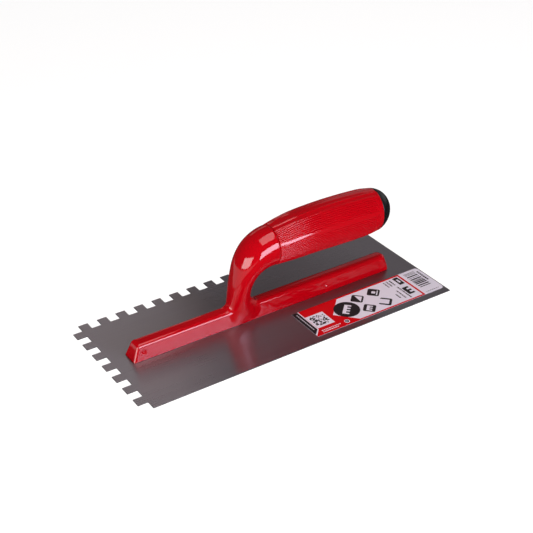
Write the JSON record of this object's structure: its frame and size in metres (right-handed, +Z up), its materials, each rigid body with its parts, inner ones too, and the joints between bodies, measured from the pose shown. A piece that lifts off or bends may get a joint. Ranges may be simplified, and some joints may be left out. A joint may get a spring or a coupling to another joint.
{
  "type": "notched trowel",
  "caption": "Rectangular steel trowel with square notches on one long and one short edge, and an open moulded handle: spine, curved neck, ribbed grip sleeve and domed end cap.",
  "frame": {"origin": "centre of the blade's underside", "axes": "+X along the blade towards the grip's free end, +Y towards the notched long edge, +Z up from the blade to the grip"},
  "size_m": [0.28, 0.12, 0.08],
  "materials": {
    "blade_steel": "fine brushed, oiled, semi-gloss",
    "handle_plastic": "high gloss, moulded",
    "sleeve_plastic": "gloss, finely ribbed lengthwise",
    "cap_plastic": "satin, fine moulded texture",
    "label_film": "printed film, semi-gloss, plain abstract artwork",
    "stud_steel": "bright turned steel"
  },
  "bodies": {
    "root": {"blade": "blade_steel", "handle_frame": "handle_plastic", "grip_sleeve": "sleeve_plastic", "end_cap": "cap_plastic", "label": "label_film", "weld_stud_1": "stud_steel", "weld_stud_2": "stud_steel", "weld_stud_3": "stud_steel", "weld_stud_4": "stud_steel", "weld_stud_5": "stud_steel"}
  },
  "joints": []
}
